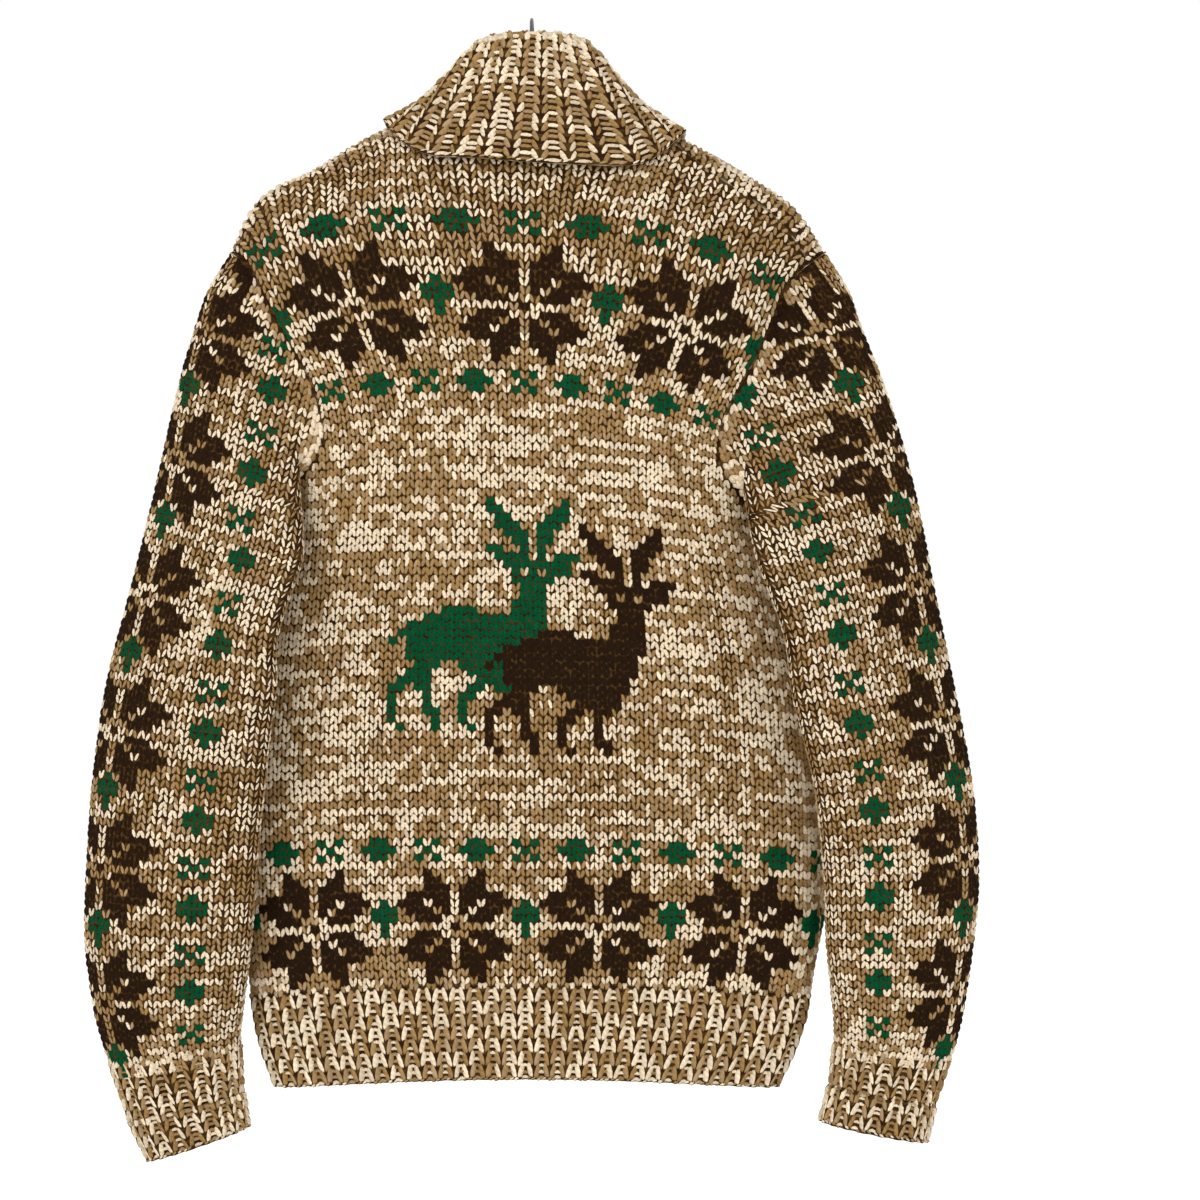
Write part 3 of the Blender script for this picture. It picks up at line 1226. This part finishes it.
def panel_cloth(name, cloth, face, material):
    """The back's or the front's cloth, cut out at the armholes and the neck."""
    levels = list(np.arange(0.0, 97.0, 1.5)) + [97.5, 97.65, 97.8, 97.95, 98.1, 98.25, 98.4, 98.5]
    places, index, grids = [], {}, {-1: [], 1: []}
    for level in levels:
        edge = armhole_edge(level) - EDGE_INSET
        inner = neck_edge(level) if face == "front" else 0.0
        for side in (-1, 1):
            line = []
            for j in range(PANEL_HALF + 1):
                u = side * (inner + (edge - inner) * j / PANEL_HALF)
                key = (level, u + 0.0)
                if key not in index:
                    index[key] = len(places)
                    top = np.interp(u, cloth.columns, cloth.top)
                    row = level if level <= YOKE_ROW else (
                        YOKE_ROW + (level - YOKE_ROW) * (top - YOKE_ROW))
                    places.append((u, max(row, 0.03)))
                line.append(index[key])
            grids[side].append(line)
    faces = []
    for side, lines in grids.items():
        for low, high in zip(lines[:-1], lines[1:]):
            for j in range(PANEL_HALF):
                quad = [low[j], low[j + 1], high[j + 1], high[j]]
                faces.append(quad[::-1] if (side < 0) != (face == "front") else quad)
    places = np.array(places)
    points, normals = cloth.at(places[:, 0], places[:, 1])
    return cloth_piece(name, points, normals, places, faces, material)


def ribbed_cloth(name, cloth, top, high, flip, material):
    """A rib's cloth, in low waves under its crests and grooves."""
    ribs = np.arange(cloth.columns[0], cloth.columns[-1] + 0.3 if cloth.around
                     else cloth.columns[-1] + 0.01, 0.125)
    if cloth.around:
        ribs = ribs[ribs < CUFF_RIBS - 0.01]
    shares = np.linspace(0.0, 1.0, 22)
    q, share = np.meshgrid(ribs, shares)
    heights = share * (np.interp(q, cloth.columns, cloth.top) if top is None else top)
    q, heights = q.reshape(-1), heights.reshape(-1)
    points, normals = cloth.at(q, heights)
    faces = grid_faces(len(shares), len(ribs), cloth.around, flip)
    places = np.stack([q * 2, heights / ROW_HEIGHT], axis=1)
    return cloth_piece(name, points, normals, places, faces, material, rib_lift(q, high))


# ---------------------------------------------------------------- finishes

class Value:
    """A shader socket that can be used in sums: each step adds its own Math node."""

    def __init__(self, finish, socket):
        self.finish, self.socket = finish, socket

    def math(self, operation, *others):
        return self.finish.node("ShaderNodeMath", {"operation": operation}, [self, *others])

    def __add__(self, other):
        return self.math("ADD", other)

    def __sub__(self, other):
        return self.math("SUBTRACT", other)

    def __rsub__(self, other):
        return self.finish.node("ShaderNodeMath", {"operation": "SUBTRACT"}, [other, self])

    def __mul__(self, other):
        return self.math("MULTIPLY", other)

    __radd__ = __add__
    __rmul__ = __mul__

    def wave(self):
        """From 0 to 1 and back for each whole number."""
        return (self * (2 * math.pi)).math("SINE") * 0.5 + 0.5


class Finish:
    """A material with one Principled shader and the nodes that feed it."""

    def __init__(self, name, **fixed):
        self.material = bpy.data.materials.new(name)
        self.material.use_nodes = True
        self.tree = self.material.node_tree
        self.shader = self.tree.nodes["Principled BSDF"]
        for socket, value in fixed.items():
            self.shader.inputs[socket.replace("_", " ")].default_value = value

    def feed(self, socket, value):
        if isinstance(value, Value):
            self.tree.links.new(value.socket, socket)
        else:
            socket.default_value = value

    def node(self, kind, settings=None, sockets=(), output=0):
        made = self.tree.nodes.new(kind)
        for key, value in (settings or {}).items():
            if key == "stops":
                ramp = made.color_ramp
                for element, (place, colour) in zip(ramp.elements, value):
                    element.position, element.color = place, colour
            else:
                setattr(made, key, value)
        pairs = sockets.items() if isinstance(sockets, dict) else enumerate(sockets)
        for key, value in pairs:
            self.feed(made.inputs[key], value)
        return Value(self, made.outputs[output])

    def mix(self, share, first, second):
        return self.node("ShaderNodeMix", {"data_type": "RGBA"}, {0: share, 6: first, 7: second},
                         output=2)

    def dim(self, colour, share):
        return self.node("ShaderNodeVectorMath", {"operation": "SCALE"},
                         {0: colour, "Scale": share})

    def attribute(self, name, output=0):
        return self.node("ShaderNodeAttribute", {"attribute_name": name}, output=output)

    def place(self):
        return self.node("ShaderNodeTexCoord", output=3)

    def axes(self, vector):
        made = self.tree.nodes.new("ShaderNodeSeparateXYZ")
        self.feed(made.inputs[0], vector)
        return [Value(self, made.outputs[i]) for i in range(3)]

    def noise(self, vector, scale, detail=2.0):
        return self.node("ShaderNodeTexNoise", None,
                         {"Vector": vector, "Scale": scale, "Detail": detail})

    def bump(self, height, strength, distance):
        return self.node("ShaderNodeBump", None,
                         {"Strength": strength, "Distance": distance, "Height": height})

    def wear(self, **sockets):
        for name, value in sockets.items():
            self.feed(self.shader.inputs[name.replace("_", " ")], value)
        return self.material


def wool_yarn():
    """Spun wool: two plies that twist along each strand, with loose fibres."""
    wool = Finish("wool_yarn", Specular_IOR_Level=0.04)
    across, along_strand, _ = wool.axes(wool.node("ShaderNodeUVMap", {"uv_map": "strand"}))
    twist = (along_strand * 3.4 + across * 0.9).wave()
    fibre = wool.noise(wool.place(), 1500.0, 3.0)
    blotch = wool.noise(wool.place(), 260.0)
    colour = wool.mix(twist, wool.attribute("ply"), wool.attribute("yarn"))
    colour = wool.dim(colour, fibre * 0.5 + blotch * 0.35 + 0.6)
    return wool.wear(Base_Color=colour, Roughness=0.8 + fibre * 0.15,
                     Normal=wool.bump(twist * 0.5 + fibre * 0.6, 0.55, 0.0007))


def purl_cloth(colours):
    """The cloth behind the stitches: shaded outside, and purl bumps of the same wool inside."""
    cloth = Finish("purl_cloth", Specular_IOR_Level=0.04)
    knit_uv = cloth.node("ShaderNodeUVMap", {"uv_map": "knit"})
    column, row, _ = cloth.axes(knit_uv)
    ridge = (row * 1.0).wave()
    bead = (column * 1.0 + ridge * 0.25).wave()
    stretched = cloth.node("ShaderNodeMapping", None, {"Vector": knit_uv,
                                                       "Scale": (0.45, 1.3, 1.0)})
    marl = cloth.node("ShaderNodeMapRange", None, {0: cloth.noise(stretched, 1.0, 3.0),
                                                   1: 0.47, 2: 0.56})
    wool = cloth.mix(marl, (*colours["tan"], 1.0), (*colours["cream"], 1.0))
    inner = cloth.dim(wool, ridge * 0.45 + bead * 0.25 + 0.35)
    outer = cloth.mix(marl, (0.024, 0.010, 0.003, 1.0), (0.060, 0.030, 0.008, 1.0))
    inside = cloth.attribute("inside", output=2)
    return cloth.wear(Base_Color=cloth.mix(inside, outer, inner),
                      Roughness=0.85 + ridge * 0.1,
                      Normal=cloth.bump(ridge * 0.7 + bead * 0.3, 0.8, 0.0016))


def varnished_wood():
    """The shoulder bar's brown wood, its grain running along the bar."""
    wood = Finish("hanger_wood", Coat_Weight=0.3, Coat_Roughness=0.25)
    stretched = wood.node("ShaderNodeMapping", None, {"Vector": wood.place(),
                                                      "Scale": (6.0, 90.0, 90.0)})
    grain = wood.noise(stretched, 1.0, 5.0)
    pores = wood.noise(stretched, 7.0, 2.0)
    colour = wood.mix(grain, (0.16, 0.075, 0.03, 1.0), (0.42, 0.24, 0.11, 1.0))
    return wood.wear(Base_Color=wood.dim(colour, pores * 0.4 + 0.75), Roughness=0.3 + pores * 0.3,
                     Normal=wood.bump(grain + pores, 0.2, 0.0004))


def dark_steel():
    """The hook's dark drawn wire."""
    steel = Finish("hook_steel")
    scratches = steel.noise(steel.place(), 900.0, 3.0)
    return steel.wear(Base_Color=steel.mix(scratches, (0.06, 0.06, 0.065, 1.0),
                                           (0.16, 0.16, 0.17, 1.0)),
                      Metallic=0.85, Roughness=0.28 + scratches * 0.25,
                      Normal=steel.bump(scratches, 0.1, 0.0002))


def pale_floor():
    """The studio's plain floor."""
    floor = Finish("studio_floor")
    grain = floor.noise(floor.place(), 60.0, 2.0)
    return floor.wear(Base_Color=floor.mix(grain, (0.86, 0.86, 0.86, 1.0),
                                           (0.89, 0.89, 0.89, 1.0)), Roughness=0.9,
                      Emission_Color=(1.0, 1.0, 1.0, 1.0), Emission_Strength=0.14)


FINISHES = {}


def finish_of(name, colours=None):
    """A finish by name, made the first time it is asked for."""
    if name not in FINISHES:
        FINISHES[name] = {"wool": wool_yarn, "wood": varnished_wood, "steel": dark_steel,
                          "floor": pale_floor}[name]() if name != "purl" else purl_cloth(colours)
    return FINISHES[name]


# ---------------------------------------------------------------- settings and operators

class SweaterStitches(bpy.types.PropertyGroup):
    """Sizes of the stitches."""
    leg_width: bpy.props.FloatProperty(
        name="Strand width", description="Width of one strand of a stitch",
        default=0.0043, subtype="DISTANCE", unit="LENGTH")
    leg_height: bpy.props.FloatProperty(
        name="Strand height", description="How far a strand stands off the cloth",
        default=0.0013, subtype="DISTANCE", unit="LENGTH")
    leg_rows: bpy.props.FloatProperty(
        name="Strand length", description="Length of a strand, in knit rows", default=1.46)
    rib_height: bpy.props.FloatProperty(
        name="Rib height", description="How far a rib's crest stands off the cloth",
        default=0.0017, subtype="DISTANCE", unit="LENGTH")


class SweaterColours(bpy.types.PropertyGroup):
    """Colours of the wool."""
    cream: bpy.props.FloatVectorProperty(
        name="Cream", description="Pale ply of the marled wool", subtype="COLOR",
        default=(0.82, 0.68, 0.49))
    tan: bpy.props.FloatVectorProperty(
        name="Tan", description="Darker ply of the marled wool", subtype="COLOR",
        default=(0.268, 0.147, 0.040))
    green: bpy.props.FloatVectorProperty(
        name="Green", description="Wool of the leaves, dots and crosses", subtype="COLOR",
        default=(0.0012, 0.066, 0.023))
    brown: bpy.props.FloatVectorProperty(
        name="Dark brown", description="Wool of the stars", subtype="COLOR",
        default=(0.018, 0.0085, 0.0036))


def wool_colours(context):
    """The wool colours of the scene's settings, by name."""
    chosen = context.scene.sweater_colours
    return {name: np.array(getattr(chosen, name)) for name in ("cream", "tan", "green", "brown")}


def knit_ribs(name, cloth, ribbing, count, top, rng, colours):
    """A ribbed piece's stitches, all in the marled wool."""
    strands, creams = knit_rib(cloth, ribbing, count, top, rng)
    yarn, ply = yarn_colours(rng, np.zeros(len(creams), dtype=int), creams, colours)
    return yarn_mesh(name, strands, yarn, ply, finish_of("wool"))


def knit_chart(name, cloth, chart, first, rng, context, colours):
    """A charted piece's stitches, each in its own yarn."""
    strands, codes, creams = knit(cloth, chart, first, context.scene.sweater_stitches, rng)
    yarn, ply = yarn_colours(rng, codes, creams, colours)
    return yarn_mesh(name, strands, yarn, ply, finish_of("wool"))


def join_sheet(cloth, stitches, node):
    """Hangs a knitted piece on the frame in its solid's place and declares its flat cut."""
    for piece in (cloth, stitches):
        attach(piece, "root")
    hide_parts(node)


class KnitPanels(bpy.types.Operator):
    """Knit the back and the front with their stars, leaves and deer"""
    bl_idname = "sweater.knit_panels"
    bl_label = "Back and front"

    def execute(self, context):
        colours = wool_colours(context)
        for seed, face in ((11, "back"), (12, "front")):
            rng = np.random.default_rng(seed)
            cloth = body_cloth(face)
            sheet = panel_cloth(face + "_cloth", cloth, face, finish_of("purl", colours))
            stitches = knit_chart(face + "_stitches", cloth, body_chart(face), FIRST_COLUMN, rng,
                                  context, colours)
            join_sheet(sheet, stitches, face)
            self.hem(face, cloth, colours, rng)
        return {"FINISHED"}

    def hem(self, face, panel, colours, rng):
        cloth = hem_cloth(panel)
        high = bpy.context.scene.sweater_stitches.rib_height / MM
        top = -HEM_ROW * ROW_HEIGHT - 0.3
        sheet = ribbed_cloth(face + "_hem_cloth", cloth, top, high, face == "front",
                             finish_of("purl", colours))
        ribbing = Ribbing(high, 9.1, 0.31, 2.7, 0.27, 2.0, 4.4)
        stitches = knit_ribs(face + "_hem_stitches", cloth, ribbing, HEM_RIBS, top, rng, colours)
        join_sheet(sheet, stitches, face + "_hem_rib")


class KnitSleeves(bpy.types.Operator):
    """Knit both sleeves and their cuffs"""
    bl_idname = "sweater.knit_sleeves"
    bl_label = "Sleeves and cuffs"

    def execute(self, context):
        colours = wool_colours(context)
        for seed, label, side in ((21, "left", -1), (22, "right", 1)):
            rng = np.random.default_rng(seed)
            cloth, grid, normals, up = sleeve_cloth(side)
            around = grid.shape[1]
            faces = grid_faces(grid.shape[0], around, True, side < 0)
            place = np.stack([np.tile(np.arange(around) * SLEEVE_STITCHES / around,
                                      (grid.shape[0], 1)), up], axis=-1)
            sheet = cloth_piece("sleeve_%s_cloth" % label, grid.reshape(-1, 3),
                                normals.reshape(-1, 3), place.reshape(-1, 2), faces,
                                finish_of("purl", colours))
            stitches = knit_chart("sleeve_%s_stitches" % label, cloth,
                                  sleeve_chart(cloth.columns, side), cloth.columns[0], rng,
                                  context, colours)
            join_sheet(sheet, stitches, "sleeve_" + label)
            self.cuff(label, side, colours, rng)
        return {"FINISHED"}

    def cuff(self, label, side, colours, rng):
        cloth, top = cuff_cloth(side)
        high = bpy.context.scene.sweater_stitches.rib_height / MM
        sheet = ribbed_cloth("cuff_%s_cloth" % label, cloth, top, high, side > 0,
                             finish_of("purl", colours))
        ribbing = Ribbing(high, 8.6, 0.31, 2.3, 0.26, 1.9, 4.3)
        stitches = knit_ribs("cuff_%s_stitches" % label, cloth, ribbing, CUFF_RIBS, top, rng,
                             colours)
        join_sheet(sheet, stitches, "cuff_" + label)


class KnitCollar(bpy.types.Operator):
    """Knit the shawl collar in one by one rib, folded over"""
    bl_idname = "sweater.knit_collar"
    bl_label = "Shawl collar"

    def execute(self, context):
        colours = wool_colours(context)
        rng = np.random.default_rng(31)
        cloth = collar_cloth()
        high = context.scene.sweater_stitches.rib_height / MM
        sheet = ribbed_cloth("collar_cloth", cloth, None, high, False, finish_of("purl", colours))
        ribbing = Ribbing(high, 6.6, 0.31, 2.7, 0.3, 2.1, 4.2)
        stitches = knit_ribs("collar_stitches", cloth, ribbing, COLLAR_RIBS, cloth.top.max(), rng,
                             colours)
        join_sheet(sheet, stitches, "collar")
        return {"FINISHED"}


class FinishHanger(bpy.types.Operator):
    """Give the hanger its wood and its hook the dark steel"""
    bl_idname = "sweater.finish_hanger"
    bl_label = "Hanger"

    def execute(self, context):
        for node, finish in (("hanger", "wood"), ("hanger_hook", "steel")):
            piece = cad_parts[node]
            for slot in piece.material_slots:
                slot.material = finish_of(finish)
        return {"FINISHED"}


class SetStage(bpy.types.Operator):
    """Set the floor, the soft studio light and the camera"""
    bl_idname = "sweater.set_stage"
    bl_label = "Stage"

    def execute(self, context):
        bpy.ops.object.select_all(action="DESELECT")
        bpy.ops.mesh.primitive_circle_add(vertices=96, radius=6.0, fill_type="NGON",
                                          location=(0.0, 0.0, -1.02))
        floor = context.object
        floor.name = "studio_floor_plane"
        floor.data.materials.append(finish_of("floor"))
        world = context.scene.world or bpy.data.worlds.new("studio")
        context.scene.world = world
        world.use_nodes = True
        back = world.node_tree.nodes["Background"]
        back.inputs["Color"].default_value = (1.0, 1.0, 1.0, 1.0)
        back.inputs["Strength"].default_value = 1.0
        for name, place, size, power in (
                ("key_light", (-1.1, -2.4, 0.9), 1.4, 32.0),
                ("fill_light", (1.8, -2.2, -0.2), 1.8, 10.0),
                ("rear_light", (0.4, 2.6, 0.6), 1.8, 16.0)):
            lamp = bpy.data.lights.new(name, "AREA")
            lamp.size, lamp.energy = size, power
            made = bpy.data.objects.new(name, lamp)
            made.location = place
            aim = Vector((0.0, 0.0, -0.42)) - Vector(place)
            made.rotation_euler = aim.to_track_quat("-Z", "Y").to_euler()
            context.scene.collection.objects.link(made)
        lens = bpy.data.cameras.new("camera")
        lens.sensor_width, lens.lens = 36.0, 36.0 * 2.0 / 0.877
        camera = bpy.data.objects.new("camera", lens)
        camera.location = (0.0497, -2.0, -0.4225)
        camera.rotation_euler = (math.radians(90.0), 0.0, 0.0)
        context.scene.collection.objects.link(camera)
        context.scene.camera = camera
        context.scene.view_settings.view_transform = "Standard"
        return {"FINISHED"}


class SweaterPanel(bpy.types.Panel):
    """The sweater's pieces and settings"""
    bl_idname = "VIEW3D_PT_sweater"
    bl_label = "Sweater"
    bl_space_type = "VIEW_3D"
    bl_region_type = "UI"
    bl_category = "Sweater"

    def draw(self, context):
        for group in (context.scene.sweater_stitches, context.scene.sweater_colours):
            for name in group.bl_rna.properties.keys():
                if name not in ("rna_type", "name"):
                    self.layout.prop(group, name)
        for operator in OPERATORS:
            self.layout.operator(operator.bl_idname)


OPERATORS = (KnitPanels, KnitSleeves, KnitCollar, FinishHanger, SetStage)
CLASSES = (SweaterStitches, SweaterColours, *OPERATORS, SweaterPanel)


def register():
    """Adds the settings, operators and panel."""
    for made in CLASSES:
        bpy.utils.register_class(made)
    bpy.types.Scene.sweater_stitches = bpy.props.PointerProperty(type=SweaterStitches)
    bpy.types.Scene.sweater_colours = bpy.props.PointerProperty(type=SweaterColours)


def unregister():
    """Takes them away again."""
    del bpy.types.Scene.sweater_colours
    del bpy.types.Scene.sweater_stitches
    for made in reversed(CLASSES):
        bpy.utils.unregister_class(made)


def main():
    """Makes every piece in turn."""
    register()
    bpy.ops.object.select_all(action="DESELECT")
    bpy.ops.sweater.knit_panels()
    bpy.ops.sweater.knit_sleeves()
    bpy.ops.sweater.knit_collar()
    bpy.ops.sweater.finish_hanger()
    bpy.ops.sweater.set_stage()


if __name__ == "__main__":
    main()
